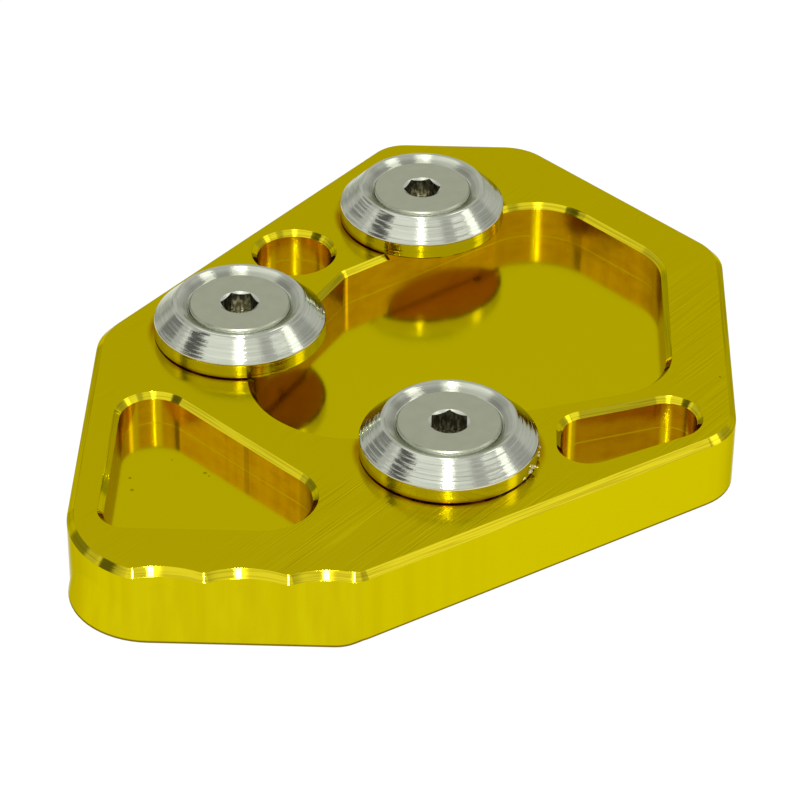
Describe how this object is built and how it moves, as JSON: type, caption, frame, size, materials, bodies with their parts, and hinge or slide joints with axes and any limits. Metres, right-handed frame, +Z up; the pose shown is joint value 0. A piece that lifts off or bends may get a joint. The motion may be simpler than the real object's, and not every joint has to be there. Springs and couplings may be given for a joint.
{
  "type": "kickstand foot enlarger",
  "caption": "Milled, gold-anodised plate with a scalloped front grip and blind pockets; dished washers held by countersunk screws clamp the foot of a motorcycle's side stand.",
  "frame": {"origin": "on the underside, at the middle of the plate's bounding box", "axes": "+Z up through the plate, +Y along the plate to its narrow back end, +X to the right when the scalloped grip faces the viewer"},
  "size_m": [0.0736, 0.0908, 0.0132],
  "materials": {
    "gold_anodised": "milled and gloss anodised yellow gold, with faint cutter lines",
    "turned_aluminium": "bright turned aluminium with fine concentric grooves",
    "screw_steel": "satin stainless steel"
  },
  "bodies": {
    "root": {"base_plate": "gold_anodised", "clamp_washer_left": "turned_aluminium", "clamp_washer_back": "turned_aluminium", "clamp_washer_front": "turned_aluminium", "clamp_screw_left": "screw_steel", "clamp_screw_back": "screw_steel", "clamp_screw_front": "screw_steel"}
  },
  "joints": []
}
